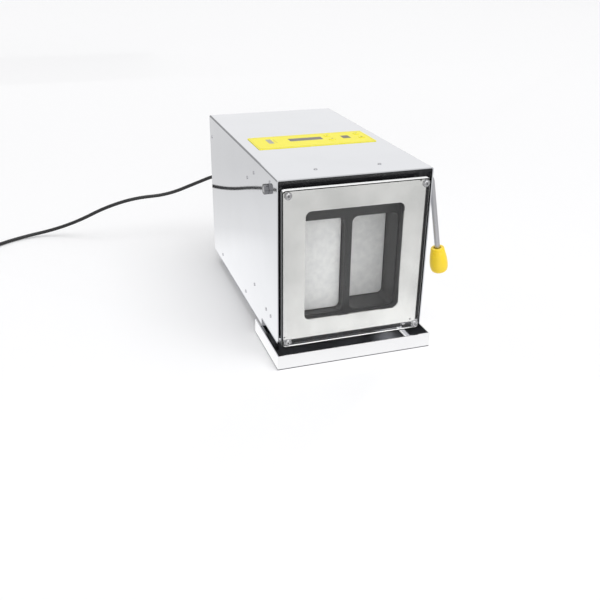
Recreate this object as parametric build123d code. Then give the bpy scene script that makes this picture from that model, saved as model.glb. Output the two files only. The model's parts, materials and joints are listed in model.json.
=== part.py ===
from build123d import *
import math
import os

# A bench paddle blender. Drawn in millimetres with the case centred on x = 0, its front
# edge at y = 0, its rear at +Y and the bench at z = 0. Every node is moved once, at the
# end, so that the origin lies under the middle of the machine's own outer box.

# ---- case ----
CASE_W = 220.0          # outside width of the cover
CASE_D = 400.0          # depth of the cover
CASE_H = 244.0          # height of the cover
STAND = 20.0            # underside of the case above the bench
SHEET = 1.5             # cover sheet
PLATE = 2.0             # inner sheet parts
BEND_R = 3.0            # outer bend of the cover
REAR_INSET = 8.0        # rear panel's outer face inside the cover's rear edge
BULK_Y = 15.0           # front face of the black bulkhead

# ---- bag chamber and paddles ----
RIM_SIDE = 32.0         # room beside the chamber's rim for the door's links, each side
RIM_Z0 = 50.0           # the rim's lower and upper outside edges
RIM_Z1 = 226.0
RIM_R = 12.0
WALL = 2.0
RIM_Y0 = 4.6            # front edge of the rim, just behind the door
FRAME_Y = 26.0          # front face of the frame with the two openings
FRAME_T = 3.0
BAR_W = 10.4            # upright bar between the openings
OPEN_SIDE = 2.0         # opening to the rim's inner face
OPEN_Z0 = 55.8
OPEN_H = 141.2
OPEN_R = 9.0
SLEEVE_L = 55.0         # depth of the sleeves behind the frame
PADDLE_GAP = 0.8        # all round, between paddle and sleeve
PADDLE_T = 12.0
THROW = 13.0            # crank throw: each paddle travels twice this
LEFT_SET = 12.0         # left paddle's face behind the frame's front at rest
ROD_R = 6.0
ROD_DZ = 36.0           # push rods above and below the paddle's middle
ROD_SINK = 6.0          # rod end let into the paddle
RUN = 0.05              # running fit, radial

# ---- drive ----
CRANK_Y = 190.0
SHAFT_R = 8.0
ECC_R = 23.0
RING_R = 27.0           # outer radius of the ring that runs in the yoke
YOKE_T = 14.0
YOKE_WEB = 9.0
YOKE_PLAY = 3.2         # ring to yoke side, covers the straight-line coupling of the model
GUIDE_Y0 = 95.0
GUIDE_L = 40.0
BUSH_R = 9.0
BEAR_R = 16.0
BEAR_W = 12.0
BEAR_OUT = 24.4         # bearing's middle outside the yoke's
PULLEY_GAP = 6.0        # pulley to bearing
PULLEY_W = 16.0
PULLEY_R = 50.0
MPULLEY_R = 20.0
BELT_W = 10.0
BELT_T = 3.0
MOTOR_Y = 305.0
MOTOR_R = 45.0
MOTOR_L = 130.0
MOTOR_GAP = 8.0         # motor to pulley
MOTOR_FOOT = 3.0
MSHAFT_R = 6.0

# ---- door ----
DOOR_INSET = 5.3        # pane inside the cover's width, each side
DOOR_Z0 = 25.0
DOOR_DROP = 12.6        # pane's top edge below the case's top
DOOR_Y0 = -5.9          # front face of the clear pane
PANE_T = 8.0
PANE_R = 5.0
MASK_INSET = 2.9        # steel plate inside the pane's width, each side
MASK_FOOT = 9.0         # plate's lower edge above the pane's
MASK_TOP = 2.0          # plate's upper edge below the pane's
WIN_SIDE = 7.0          # window inside the rim's width, each side
WIN_Z0 = 60.5
WIN_Z1 = 219.0
WIN_R = 8.5
SCREW_IN = 7.7          # door screws inside the pane's side edges
SCREW_FOOT = 8.0        # and inside its lower and upper edges
SCREW_TOP = 6.8
HINGE_Y = 7.5
HINGE_Z = 32.0
HPIN_R = 3.0

# ---- lever and the links that carry the door ----
LEVER_Y = 41.5
LEVER_DROP = 23.2       # lever's axis below the case's top
LEVER_R = 4.0
LEVER_OUT = 19.8        # where its leg would meet its axis, outside the cover
LEVER_BEND = 14.0
LEVER_SPLAY = 10.5      # degrees outward of straight down
GRIP_AT = 115.0         # top of the grip from the lever's axis
GRIP_L = 41.0
GRIP_R = 13.4
ARM_R = 16.0            # both cranks of the parallel linkage
ARM_ANG = -30.0         # degrees above straight back, door shut
ARM_IN = 13.5           # arm's inner face from the cover's inner face
ARM_T = 6.0
LINK_GAP = 2.0          # link to arm
LINK_T = 5.0
LPIN_R = 2.5
EYE_R = 4.5             # half the width of a link, which passes beside the lever rod
PIN_HEAD = 1.8          # pin head stands this far out beside the link
SLIT_GAP = 1.5          # slots wider than the arms, links and pin heads, each side
DOOR_OPEN = 75.0        # degrees, the same for lever and door

# ---- tray and feet ----
TRAY_OVER = 5.8         # tray wider than the case, each side
TRAY_Y0 = -21.2
TRAY_Y1 = 96.8
TRAY_H = 21.6
TRAY_BACK = 9.0
FOOT_R = 15.0
FOOT_IN = 26.0          # feet inside the case's sides and its rear edge
FOOT_Y0 = 126.0         # front feet, behind the tray

# ---- control panel ----
PANEL_X0, PANEL_X1 = -90.6, 93.2
PANEL_Y0, PANEL_Y1 = 151.5, 219.8
PANEL_T = 0.8
LENS_X0, LENS_X1 = -33.0, 19.5
LENS_Y0, LENS_Y1 = 183.5, 199.5
BOARD_X0, BOARD_X1 = -88.0, 90.0
BOARD_Y0, BOARD_Y1 = 153.0, 218.0
BOARD_DROP = 12.5       # board's underside below the cover's inner face
BOARD_T = 1.6
KEY_R = 5.0
KEY_POS = ((32.0, 203.0), (32.0, 180.0), (80.0, 203.0), (80.0, 180.0))
KEY_PROUD = 0.9
KEY_GAP = 0.3

# ---- rear ----
INLET_IN = 35.0         # inlet's middle from the case's left side
INLET_Z = 128.0
SWITCH_X, SWITCH_Z = -22.0, 122.0
ROCK_TILT = 7.0

# ---- cord ----
CORD_D = 6.5
NOSE_GAP = 0.3          # connector in the inlet's socket, all round
CONN_L = 32.0           # connector's block behind the rear panel
RELIEF_L = 36.0         # its tapered strain relief
# the route from the relief to the coil: out, round to the left and down on to the bench
CORD_ROUTE = ((-75, 460, 128), (-75, 506, 128), (-111, 540, 104), (-170, 548, 82),
              (-232, 544, 83), (-290, 554, 66), (-341, 580, 35), (-392, 606, 12),
              (-446, 608, 3.6), (-492, 580, 3.6), (-528, 545, 3.6))
COIL_RO = 44.0          # centre line of the outermost turn
COIL_PITCH = 7.6        # between neighbouring turns of a layer
COIL_LIFT = 7.6         # between the two layers
COIL_TURNS = 2.5        # turns in each layer
TAIL_L = 42.0
PLUG_W, PLUG_T, PLUG_L = 36.0, 16.0, 40.0
PLUG_RELIEF = 26.0

# ---- values that follow from the ones above ----
CASE_Z0 = STAND
CASE_Z1 = STAND + CASE_H
IN_X = CASE_W / 2 - SHEET                 # inner face of the cover's side
IN_Z1 = CASE_Z1 - SHEET
FLOOR_Z = CASE_Z0 + PLATE                 # top of the base pan
REAR_Y1 = CASE_D - REAR_INSET
REAR_Y0 = REAR_Y1 - PLATE
DOOR_W = CASE_W - 2 * DOOR_INSET
DOOR_Z1 = CASE_Z1 - DOOR_DROP
PANE_Y1 = DOOR_Y0 + PANE_T
MASK_W = DOOR_W - 2 * MASK_INSET
MASK_Z0 = DOOR_Z0 + MASK_FOOT
MASK_Z1 = DOOR_Z1 - MASK_TOP
MASK_Y1 = PANE_Y1 + PLATE
SCREW_X = DOOR_W / 2 - SCREW_IN           # door screws from the centre line
SCREW_Z0 = DOOR_Z0 + SCREW_FOOT
SCREW_Z1 = DOOR_Z1 - SCREW_TOP
RIM_W = CASE_W - 2 * RIM_SIDE             # outside width of the chamber's rim
WIN_W = RIM_W - 2 * WIN_SIDE
OPEN_W = (RIM_W - 2 * WALL - BAR_W) / 2 - OPEN_SIDE
OPEN_X = BAR_W / 2 + OPEN_W / 2           # middle of each opening
OPEN_ZC = OPEN_Z0 + OPEN_H / 2
SLEEVE_Y0 = FRAME_Y + FRAME_T
SLEEVE_Y1 = SLEEVE_Y0 + SLEEVE_L
PADDLE_W = OPEN_W - 2 * PADDLE_GAP
PADDLE_H = OPEN_H - 2 * PADDLE_GAP
LEFT_Y = FRAME_Y + LEFT_SET
RIGHT_Y = LEFT_Y + 2 * THROW
SLOT_W = 2 * (RING_R + YOKE_PLAY)
SLOT_H = SLOT_W + 2 * THROW
YOKE_W = SLOT_W + 2 * YOKE_WEB
YOKE_H = SLOT_H + 2 * YOKE_WEB
BEAR_X = OPEN_X + BEAR_OUT
PULLEY_X0 = BEAR_X + BEAR_W / 2 + PULLEY_GAP
MOTOR_X1 = PULLEY_X0 - MOTOR_GAP
MOTOR_X0 = MOTOR_X1 - MOTOR_L
ARM_DY = ARM_R * math.cos(math.radians(ARM_ANG))
ARM_DZ = ARM_R * math.sin(math.radians(ARM_ANG))
ARM_X0 = IN_X - ARM_IN
LINK_X0 = ARM_X0 - LINK_GAP - LINK_T
LEVER_X = CASE_W / 2 + LEVER_OUT
LEVER_Z = CASE_Z1 - LEVER_DROP
TRAY_W = CASE_W + 2 * TRAY_OVER
FOOT_X = CASE_W / 2 - FOOT_IN
FOOT_YS = (FOOT_Y0, CASE_D - FOOT_IN)
BOARD_Z = IN_Z1 - BOARD_DROP
INLET_X = -CASE_W / 2 + INLET_IN
CONN_Y1 = REAR_Y1 + CONN_L
RELIEF_Y1 = CONN_Y1 + RELIEF_L


def box(x0, x1, y0, y1, z0, z1):
    return Pos((x0 + x1) / 2, (y0 + y1) / 2, (z0 + z1) / 2) * Box(x1 - x0, y1 - y0, z1 - z0)


def rod_x(y, z, r, x0, x1):
    return Pos((x0 + x1) / 2, y, z) * Rot(0, 90, 0) * Cylinder(r, x1 - x0)


def rod_y(x, z, r, y0, y1):
    return Pos(x, (y0 + y1) / 2, z) * Rot(90, 0, 0) * Cylinder(r, y1 - y0)


def rod_z(x, y, r, z0, z1):
    return Pos(x, y, (z0 + z1) / 2) * Cylinder(r, z1 - z0)


def slab_y(w, h, r, x, z, y0, y1):
    # rounded rectangle across the machine, extruded along its depth
    at = Plane(origin=(x, y0, z), x_dir=(1, 0, 0), z_dir=(0, 1, 0))
    return extrude(at * RectangleRounded(w, h, r), y1 - y0)


def slab_x(face, x0, x1):
    # a face drawn as (depth, height), extruded across the machine
    at = Plane(origin=(x0, 0, 0), x_dir=(0, 1, 0), z_dir=(1, 0, 0))
    return extrude(at * face, x1 - x0, dir=(1, 0, 0))


def slot_face(a, b, r):
    # stadium between two centres, drawn as (depth, height)
    dy, dz = b[0] - a[0], b[1] - a[1]
    turn = math.degrees(math.atan2(dz, dy))
    slot = SlotCenterToCenter(math.hypot(dy, dz), 2 * r, rotation=turn)
    return Pos((a[0] + b[0]) / 2, (a[1] + b[1]) / 2) * slot


def both(make):
    # the same piece on the right and, mirrored, on the left
    right = make()
    return [right, mirror(right, Plane.YZ)]


nodes = {}


def put(name, *shapes):
    flat = []
    for s in shapes:
        flat += list(s) if isinstance(s, (list, tuple)) else [s]
    solids = []
    for s in flat:
        solids += list(s.solids())
    nodes[name] = solids


# ---------------------------------------------------------------- case
# cover screws in each side, as (depth, height), and in the top
SIDE_SCREWS = ((33.0, 57.0), (56.0, 57.0), (31.7, CASE_Z1 - 11.5), (118.0, 69.0), (173.0, 33.0),
               (112.0, CASE_Z1 - 21.0), (148.0, CASE_Z1 - 38.0), (CASE_D - 67.0, 33.0),
               (CASE_D - 15.0, CASE_Z1 - 34.0))
TOP_SCREWS = ((-46.0, 35.0), (46.0, 35.0))
SCREW_R = 1.5
HEAD_R = 2.5
HEAD_T = 0.7

outer = box(-CASE_W / 2, CASE_W / 2, 0, CASE_D, CASE_Z0, CASE_Z1)
outer = fillet(outer.edges().filter_by(Axis.Y).group_by(Axis.Z)[-1], BEND_R)
inner = box(-IN_X, IN_X, -1, CASE_D + 1, CASE_Z0 - 1, IN_Z1)
inner = fillet(inner.edges().filter_by(Axis.Y).group_by(Axis.Z)[-1], BEND_R - SHEET)
cover = outer - inner
BUSH_OUT = LEVER_R + 2.0
cover -= rod_x(LEVER_Y, LEVER_Z, BUSH_OUT, -CASE_W, CASE_W)
cover -= box(LENS_X0, LENS_X1, LENS_Y0, LENS_Y1, IN_Z1 - 1, CASE_Z1 + 1)
for kx, ky in KEY_POS:
    cover -= rod_z(kx, ky, KEY_R + KEY_GAP, IN_Z1 - 1, CASE_Z1 + 1)
for sy, sz in SIDE_SCREWS:
    cover -= rod_x(sy, sz, SCREW_R, -CASE_W, CASE_W)
for sx, sy in TOP_SCREWS:
    cover -= rod_z(sx, sy, SCREW_R, IN_Z1 - 1, CASE_Z1 + 1)
put("cover", cover)

FLANGE_Y1 = 64.0        # rear edge of the bulkhead's side flanges
PAN_FLANGE = 60.0       # height of the base pan's side flanges
SLIT_X0, SLIT_X1 = LINK_X0 - PIN_HEAD - SLIT_GAP, ARM_X0 + ARM_T + SLIT_GAP
SLIT_Z1 = 92.0
NOTCH_GAP = 6.0         # base pan's front corners are cut this far behind the links
FOOT_STUD_R = 3.0

pan = box(-IN_X, IN_X, BULK_Y + PLATE, REAR_Y1, CASE_Z0, FLOOR_Z)
for s in (-1, 1):
    a, b = sorted((s * IN_X, s * (IN_X - PLATE)))
    pan += box(a, b, FLANGE_Y1 + 0.5, REAR_Y0, CASE_Z0, CASE_Z0 + PAN_FLANGE)
    a, b = sorted((s * SLIT_X0, s * (IN_X + 1)))
    pan -= box(a, b, 0, HINGE_Y + ARM_DY + EYE_R + NOTCH_GAP, CASE_Z0 - 1, FLOOR_Z + 1)
for fx in (-FOOT_X, FOOT_X):
    for fy in FOOT_YS:
        pan -= rod_z(fx, fy, FOOT_STUD_R, CASE_Z0 - 1, FLOOR_Z + 1)
for sy, sz in SIDE_SCREWS:
    if sy > FLANGE_Y1 and sz < CASE_Z0 + PAN_FLANGE:
        pan -= rod_x(sy, sz, SCREW_R, -CASE_W, CASE_W)
put("base_pan", pan)

rear = box(-IN_X, IN_X, REAR_Y0, REAR_Y1, FLOOR_Z, IN_Z1)
rear = fillet(rear.edges().filter_by(Axis.Y).group_by(Axis.Z)[-1], BEND_R)
TAB_L = 14.0            # tabs that take the cover's rear screws
TAB_Z0, TAB_Z1 = CASE_Z1 - 64.0, CASE_Z1 - 14.0
for s in (-1, 1):
    a, b = sorted((s * IN_X, s * (IN_X - PLATE)))
    rear += box(a, b, REAR_Y0 - TAB_L, REAR_Y0, TAB_Z0, TAB_Z1)
for sy, sz in SIDE_SCREWS:
    if sy > REAR_Y0 - TAB_L:
        rear -= rod_x(sy, sz, SCREW_R, -CASE_W, CASE_W)
VENT_N, VENT_PITCH = 7, 11.0             # cooling slots
VENT_X, VENT_Z0 = 55.0, 60.0
VENT_W, VENT_H = 70.0, 4.0
for i in range(VENT_N):
    rear -= slab_y(VENT_W, VENT_H, VENT_H / 2 - 0.1, VENT_X, VENT_Z0 + VENT_PITCH * i,
                   REAR_Y0 - 1, REAR_Y1 + 1)
INLET_W, INLET_H = 50.0, 40.0            # flange
INLET_DROP = 7.0                         # flange middle below the socket's middle
INLET_BX, INLET_BZ = 16.0, 17.0          # half width and height of the bodies in the panel
SWITCH_BX, SWITCH_BZ = 8.0, 14.0
rear -= box(INLET_X - INLET_BX, INLET_X + INLET_BX, REAR_Y0 - 1, REAR_Y1 + 1,
            INLET_Z - INLET_DROP - INLET_BZ, INLET_Z - INLET_DROP + INLET_BZ)
rear -= box(SWITCH_X - SWITCH_BX, SWITCH_X + SWITCH_BX, REAR_Y0 - 1, REAR_Y1 + 1,
            SWITCH_Z - SWITCH_BZ, SWITCH_Z + SWITCH_BZ)
put("rear_panel", rear)

bulk = box(-IN_X, IN_X, BULK_Y, BULK_Y + PLATE, CASE_Z0, IN_Z1)
bulk = fillet(bulk.edges().filter_by(Axis.Y).group_by(Axis.Z)[-1], BEND_R)
for s in (-1, 1):
    a, b = sorted((s * IN_X, s * (IN_X - PLATE)))
    bulk += box(a, b, BULK_Y, FLANGE_Y1, FLOOR_Z, IN_Z1 - 4)
    nose = slot_face((HINGE_Y, HINGE_Z), (BULK_Y + 3, HINGE_Z), 5.0)
    bulk += slab_x(nose, a, b)
bulk += box(-SLIT_X0 + 1, SLIT_X0 - 1, BULK_Y, FLANGE_Y1, IN_Z1 - PLATE, IN_Z1)
for s in (-1, 1):
    a, b = sorted((s * SLIT_X0, s * SLIT_X1))
    bulk -= box(a, b, 0, BULK_Y + PLATE + 1, CASE_Z0 - 1, SLIT_Z1)
bulk -= slab_y(RIM_W, RIM_Z1 - RIM_Z0, RIM_R, 0, (RIM_Z0 + RIM_Z1) / 2,
               BULK_Y - 1, BULK_Y + PLATE + 1)
bulk -= rod_x(HINGE_Y, HINGE_Z, HPIN_R, -CASE_W, CASE_W)
bulk -= rod_x(LEVER_Y, LEVER_Z, BUSH_OUT, -CASE_W, CASE_W)
for sy, sz in SIDE_SCREWS:
    if sy < FLANGE_Y1:
        bulk -= rod_x(sy, sz, SCREW_R, -CASE_W, CASE_W)
for sx, sy in TOP_SCREWS:
    bulk -= rod_z(sx, sy, SCREW_R, IN_Z1 - 5, CASE_Z1)
put("front_bulkhead", bulk)

screws = []
for s in (-1, 1):
    for sy, sz in SIDE_SCREWS:
        a, b = sorted((s * CASE_W / 2, s * (CASE_W / 2 + HEAD_T)))
        c, d = sorted((s * CASE_W / 2, s * (IN_X - PLATE - 2)))
        screws.append(rod_x(sy, sz, HEAD_R, a, b) + rod_x(sy, sz, SCREW_R, c, d))
for sx, sy in TOP_SCREWS:
    screws.append(rod_z(sx, sy, HEAD_R, CASE_Z1, CASE_Z1 + HEAD_T)
                  + rod_z(sx, sy, SCREW_R, IN_Z1 - PLATE - 2, CASE_Z1))
put("cover_screws", screws)

# ---------------------------------------------------------------- bag chamber
rim_zc = (RIM_Z0 + RIM_Z1) / 2
rim_h = RIM_Z1 - RIM_Z0
rim = slab_y(RIM_W, rim_h, RIM_R, 0, rim_zc, RIM_Y0, FRAME_Y)
rim += slab_y(RIM_W + 10, rim_h + 10, RIM_R + 5, 0, rim_zc, BULK_Y + PLATE, BULK_Y + 2 * PLATE)
rim -= slab_y(RIM_W - 2 * WALL, rim_h - 2 * WALL, RIM_R - WALL, 0, rim_zc, RIM_Y0 - 1, FRAME_Y + 1)
put("chamber_rim", rim)

frame = slab_y(RIM_W, rim_h, RIM_R, 0, rim_zc, FRAME_Y, FRAME_Y + FRAME_T)
sleeves = []
back = box(-OPEN_X - OPEN_W / 2 - WALL, OPEN_X + OPEN_W / 2 + WALL, SLEEVE_Y1,
           SLEEVE_Y1 + PLATE, OPEN_Z0 - WALL, OPEN_Z0 + OPEN_H + WALL)
for s in (-1, 1):
    frame -= slab_y(OPEN_W, OPEN_H, OPEN_R, s * OPEN_X, OPEN_ZC, FRAME_Y - 1, SLEEVE_Y0 + 1)
    tube = slab_y(OPEN_W + 2 * WALL, OPEN_H + 2 * WALL, OPEN_R + WALL, s * OPEN_X, OPEN_ZC,
                  SLEEVE_Y0, SLEEVE_Y1)
    tube -= slab_y(OPEN_W, OPEN_H, OPEN_R, s * OPEN_X, OPEN_ZC, SLEEVE_Y0 - 1, SLEEVE_Y1 + 1)
    sleeves.append(tube)
    for t in (-1, 1):
        back -= rod_y(s * OPEN_X, OPEN_ZC + t * ROD_DZ, ROD_R + 0.4,
                      SLEEVE_Y1 - 1, SLEEVE_Y1 + PLATE + 1)
put("chamber_frame", frame)
put("paddle_sleeves", sleeves)
put("sleeve_back", back)

# ---------------------------------------------------------------- paddles and their drive
ROD_END = CRANK_Y - THROW - YOKE_W / 2    # front edge of the left yoke at rest


def paddle(s, y0):
    p = slab_y(PADDLE_W, PADDLE_H, OPEN_R - PADDLE_GAP, s * OPEN_X, OPEN_ZC, y0, y0 + PADDLE_T)
    p = fillet(p.edges().group_by(Axis.Y)[0], 1.5)
    for t in (-1, 1):
        p -= rod_y(s * OPEN_X, OPEN_ZC + t * ROD_DZ, ROD_R,
                   y0 + PADDLE_T - ROD_SINK, y0 + PADDLE_T + 1)
    return p


def push_rods(s, y0, y1):
    return [rod_y(s * OPEN_X, OPEN_ZC + t * ROD_DZ, ROD_R, y0 + PADDLE_T - ROD_SINK, y1)
            for t in (-1, 1)]


def yoke(s, yc):
    plate = Pos(yc, OPEN_ZC) * RectangleRounded(YOKE_W, YOKE_H, 6.0)
    plate -= Pos(yc, OPEN_ZC) * SlotOverall(SLOT_H, SLOT_W, rotation=90)
    return slab_x(plate, s * OPEN_X - YOKE_T / 2, s * OPEN_X + YOKE_T / 2)


put("paddle_left", paddle(-1, LEFT_Y))
put("paddle_right", paddle(1, RIGHT_Y))
put("rods_left", push_rods(-1, LEFT_Y, ROD_END))
put("rods_right", push_rods(1, RIGHT_Y, ROD_END + 2 * THROW))
put("yoke_left", yoke(-1, CRANK_Y - THROW))
put("yoke_right", yoke(1, CRANK_Y + THROW))

GUIDE_X = OPEN_X + BUSH_R + 9.0
GUIDE_Y1 = GUIDE_Y0 + GUIDE_L
guide = box(-GUIDE_X, GUIDE_X, GUIDE_Y0, GUIDE_Y1, FLOOR_Z, OPEN_ZC + ROD_DZ + BUSH_R + 6)
guide -= box(-OPEN_X + BUSH_R + 6, OPEN_X - BUSH_R - 6, GUIDE_Y0 - 1, GUIDE_Y1 + 1,
             FLOOR_Z + 14, OPEN_ZC + ROD_DZ - 4)
bushes = []
for s in (-1, 1):
    for t in (-1, 1):
        x, z = s * OPEN_X, OPEN_ZC + t * ROD_DZ
        guide -= rod_y(x, z, BUSH_R, GUIDE_Y0 - 1, GUIDE_Y1 + 1)
        bushes.append(rod_y(x, z, BUSH_R, GUIDE_Y0, GUIDE_Y1)
                      - rod_y(x, z, ROD_R + RUN, GUIDE_Y0 - 1, GUIDE_Y1 + 1))
put("guide_block", guide)
put("guide_bushes", bushes)

PULLEY_X1 = PULLEY_X0 + PULLEY_W
put("crankshaft", rod_x(CRANK_Y, OPEN_ZC, SHAFT_R, -BEAR_X - BEAR_W, PULLEY_X1 + 2))
eccs, rings = [], []
for s in (-1, 1):
    ey = CRANK_Y + s * THROW
    a, b = s * OPEN_X - YOKE_T / 2, s * OPEN_X + YOKE_T / 2
    eccs.append(rod_x(ey, OPEN_ZC, ECC_R, a, b) - rod_x(CRANK_Y, OPEN_ZC, SHAFT_R, a - 1, b + 1))
    rings.append(rod_x(ey, OPEN_ZC, RING_R, a, b) - rod_x(ey, OPEN_ZC, ECC_R, a - 1, b + 1))
put("eccentrics", eccs)
put("eccentric_rings", rings)


BLOCK_R = 22.0          # bearing block round the crankshaft


def bearing_block(s):
    a, b = s * BEAR_X - BEAR_W / 2, s * BEAR_X + BEAR_W / 2
    blk = box(a, b, CRANK_Y - BLOCK_R, CRANK_Y + BLOCK_R, FLOOR_Z, OPEN_ZC)
    blk += rod_x(CRANK_Y, OPEN_ZC, BLOCK_R, a, b)
    return blk - rod_x(CRANK_Y, OPEN_ZC, BEAR_R, a - 1, b + 1)


def bearing(s):
    a, b = s * BEAR_X - BEAR_W / 2, s * BEAR_X + BEAR_W / 2
    return rod_x(CRANK_Y, OPEN_ZC, BEAR_R, a, b) - rod_x(CRANK_Y, OPEN_ZC, SHAFT_R + RUN, a - 1, b + 1)


put("bearing_blocks", bearing_block(-1), bearing_block(1))
put("crank_bearings", bearing(-1), bearing(1))

MOTOR_Z = FLOOR_Z + MOTOR_FOOT + MOTOR_R
BRACKET_T = 4.0


def pulley(y, z, r, bore):
    p = rod_x(y, z, r, PULLEY_X0, PULLEY_X1)
    for a in (PULLEY_X0, PULLEY_X1 - 2):
        p += rod_x(y, z, r + BELT_T + 0.8, a, a + 2)
    return p - rod_x(y, z, bore, PULLEY_X0 - 1, PULLEY_X1 + 1)


def belt_body(grow, x0, x1):
    # everything inside a line round both pulleys, that far outside their treads
    r0, r1 = PULLEY_R + grow, MPULLEY_R + grow
    dy, dz = MOTOR_Y - CRANK_Y, MOTOR_Z - OPEN_ZC
    d, base = math.hypot(dy, dz), math.atan2(dz, dy)
    off = math.acos((r0 - r1) / d)
    pts = []
    for a in (base - off, base + off):
        ends = [(CRANK_Y + r0 * math.cos(a), OPEN_ZC + r0 * math.sin(a)),
                (MOTOR_Y + r1 * math.cos(a), MOTOR_Z + r1 * math.sin(a))]
        pts += ends if a < base else ends[::-1]
    whole = slab_x(Polygon(*pts, align=None), x0, x1)
    whole += rod_x(CRANK_Y, OPEN_ZC, r0, x0, x1)
    return whole + rod_x(MOTOR_Y, MOTOR_Z, r1, x0, x1)


put("crank_pulley", pulley(CRANK_Y, OPEN_ZC, PULLEY_R, SHAFT_R))
put("motor_pulley", pulley(MOTOR_Y, MOTOR_Z, MPULLEY_R, MSHAFT_R))
BELT_GAP = 0.1
belt_x = (PULLEY_X0 + PULLEY_X1 - BELT_W) / 2
put("drive_belt", belt_body(BELT_GAP + BELT_T, belt_x, belt_x + BELT_W)
    - belt_body(BELT_GAP, belt_x - 1, belt_x + BELT_W + 1))

motor = rod_x(MOTOR_Y, MOTOR_Z, MOTOR_R, MOTOR_X0, MOTOR_X1)
motor = fillet(motor.edges().group_by(Axis.X)[0], 6.0)
motor -= rod_x(MOTOR_Y, MOTOR_Z, MSHAFT_R + RUN, MOTOR_X0 + 20, MOTOR_X1 + 1)
put("motor", motor)
put("motor_shaft", rod_x(MOTOR_Y, MOTOR_Z, MSHAFT_R, MOTOR_X0 + 21, PULLEY_X1 + 1))
BRACKET_SIDE = 42.0     # plate round the motor's shaft, each way
BRACKET_BORE = 14.0
CRADLE_SIDE = 30.0      # foot under the motor, half its width
CRADLE_IN = 10.0        # and its end inside the motor's
mb = box(MOTOR_X1, MOTOR_X1 + BRACKET_T, MOTOR_Y - BRACKET_SIDE, MOTOR_Y + BRACKET_SIDE,
         FLOOR_Z, MOTOR_Z + BRACKET_SIDE)
mb -= rod_x(MOTOR_Y, MOTOR_Z, BRACKET_BORE, MOTOR_X1 - 1, MOTOR_X1 + BRACKET_T + 1)
mb += box(MOTOR_X0 + CRADLE_IN, MOTOR_X1, MOTOR_Y - CRADLE_SIDE, MOTOR_Y + CRADLE_SIDE,
          FLOOR_Z, FLOOR_Z + MOTOR_FOOT)
put("motor_bracket", mb)

# ---------------------------------------------------------------- door
door_zc = (DOOR_Z0 + DOOR_Z1) / 2
pane = slab_y(DOOR_W, DOOR_Z1 - DOOR_Z0, PANE_R, 0, door_zc, DOOR_Y0, PANE_Y1)
mask = slab_y(MASK_W, MASK_Z1 - MASK_Z0, 4.0, 0, (MASK_Z0 + MASK_Z1) / 2, PANE_Y1, MASK_Y1)
mask -= slab_y(WIN_W, WIN_Z1 - WIN_Z0, WIN_R, 0, (WIN_Z0 + WIN_Z1) / 2, PANE_Y1 - 1, MASK_Y1 + 1)
BOLT_R, DOME_R, DOME_T, WASHER_R = 2.0, 4.4, 2.6, 5.4
door_screws = []
for sx in (-SCREW_X, SCREW_X):
    for sz in (SCREW_Z0, SCREW_Z1):
        pane -= rod_y(sx, sz, BOLT_R, DOOR_Y0 - 1, PANE_Y1 + 1)
        mask -= rod_y(sx, sz, BOLT_R, PANE_Y1 - 1, MASK_Y1 + 1)
        y_front = DOOR_Y0 - 1.0
        head = rod_y(sx, sz, DOME_R, y_front - DOME_T, y_front)
        head = fillet(head.edges().group_by(Axis.Y)[0], DOME_T * 0.8)
        end = MASK_Y1 if sz > MASK_Z0 + 6 else PANE_Y1
        door_screws.append(head + rod_y(sx, sz, WASHER_R, y_front, DOOR_Y0)
                           + rod_y(sx, sz, BOLT_R, y_front, end))
put("door_pane", pane)
put("door_plate", mask)
put("door_screws", door_screws)

LINK_PIN = (HINGE_Y + ARM_DY, HINGE_Z + ARM_DZ)
LEVER_PIN = (LEVER_Y + ARM_DY, LEVER_Z + ARM_DZ)


ARM_W = 5.2             # half width of the arm's lower end, thickness of its upright
ARM_TOP = 64.0          # upper end of the upright behind the plate


def door_arm():
    face = slot_face((HINGE_Y, HINGE_Z), LINK_PIN, ARM_W)
    face += Pos(MASK_Y1 + ARM_W / 2, (HINGE_Z + ARM_TOP) / 2) * Rectangle(ARM_W, ARM_TOP - HINGE_Z)
    arm = slab_x(face, ARM_X0, ARM_X0 + ARM_T)
    arm -= box(ARM_X0 - 1, ARM_X0 + ARM_T + 1, 0, MASK_Y1, MASK_Z0 - 0.2, ARM_TOP + 1)
    arm -= rod_x(HINGE_Y, HINGE_Z, HPIN_R + RUN, ARM_X0 - 1, ARM_X0 + ARM_T + 1)
    return arm - rod_x(LINK_PIN[0], LINK_PIN[1], LPIN_R, ARM_X0 - 1, ARM_X0 + ARM_T + 1)


def crank_arm():
    face = slot_face((LEVER_Y, LEVER_Z), LEVER_PIN, EYE_R)
    face += Pos(LEVER_Y, LEVER_Z) * Circle(LEVER_R + 4)
    arm = slab_x(face, ARM_X0, ARM_X0 + ARM_T)
    arm -= rod_x(LEVER_Y, LEVER_Z, LEVER_R, ARM_X0 - 1, ARM_X0 + ARM_T + 1)
    return arm - rod_x(LEVER_PIN[0], LEVER_PIN[1], LPIN_R, ARM_X0 - 1, ARM_X0 + ARM_T + 1)


def link():
    bar = slab_x(slot_face(LINK_PIN, LEVER_PIN, EYE_R), LINK_X0, LINK_X0 + LINK_T)
    for y, z in (LINK_PIN, LEVER_PIN):
        bar -= rod_x(y, z, LPIN_R + RUN, LINK_X0 - 1, LINK_X0 + LINK_T + 1)
    return bar


def link_pin(y, z):
    pin = rod_x(y, z, LPIN_R, LINK_X0 - 1, ARM_X0 + ARM_T)
    return pin + rod_x(y, z, LPIN_R + 1.2, LINK_X0 - PIN_HEAD, LINK_X0 - 0.4)


put("door_arms", both(door_arm))
put("hinge_pins", both(lambda: rod_x(HINGE_Y, HINGE_Z, HPIN_R, ARM_X0 - 0.5, IN_X)))
put("link_pins", both(lambda: link_pin(*LINK_PIN)))
put("door_links", both(link))
put("crank_arms", both(crank_arm))
put("arm_pins", both(lambda: link_pin(*LEVER_PIN)))

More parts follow.
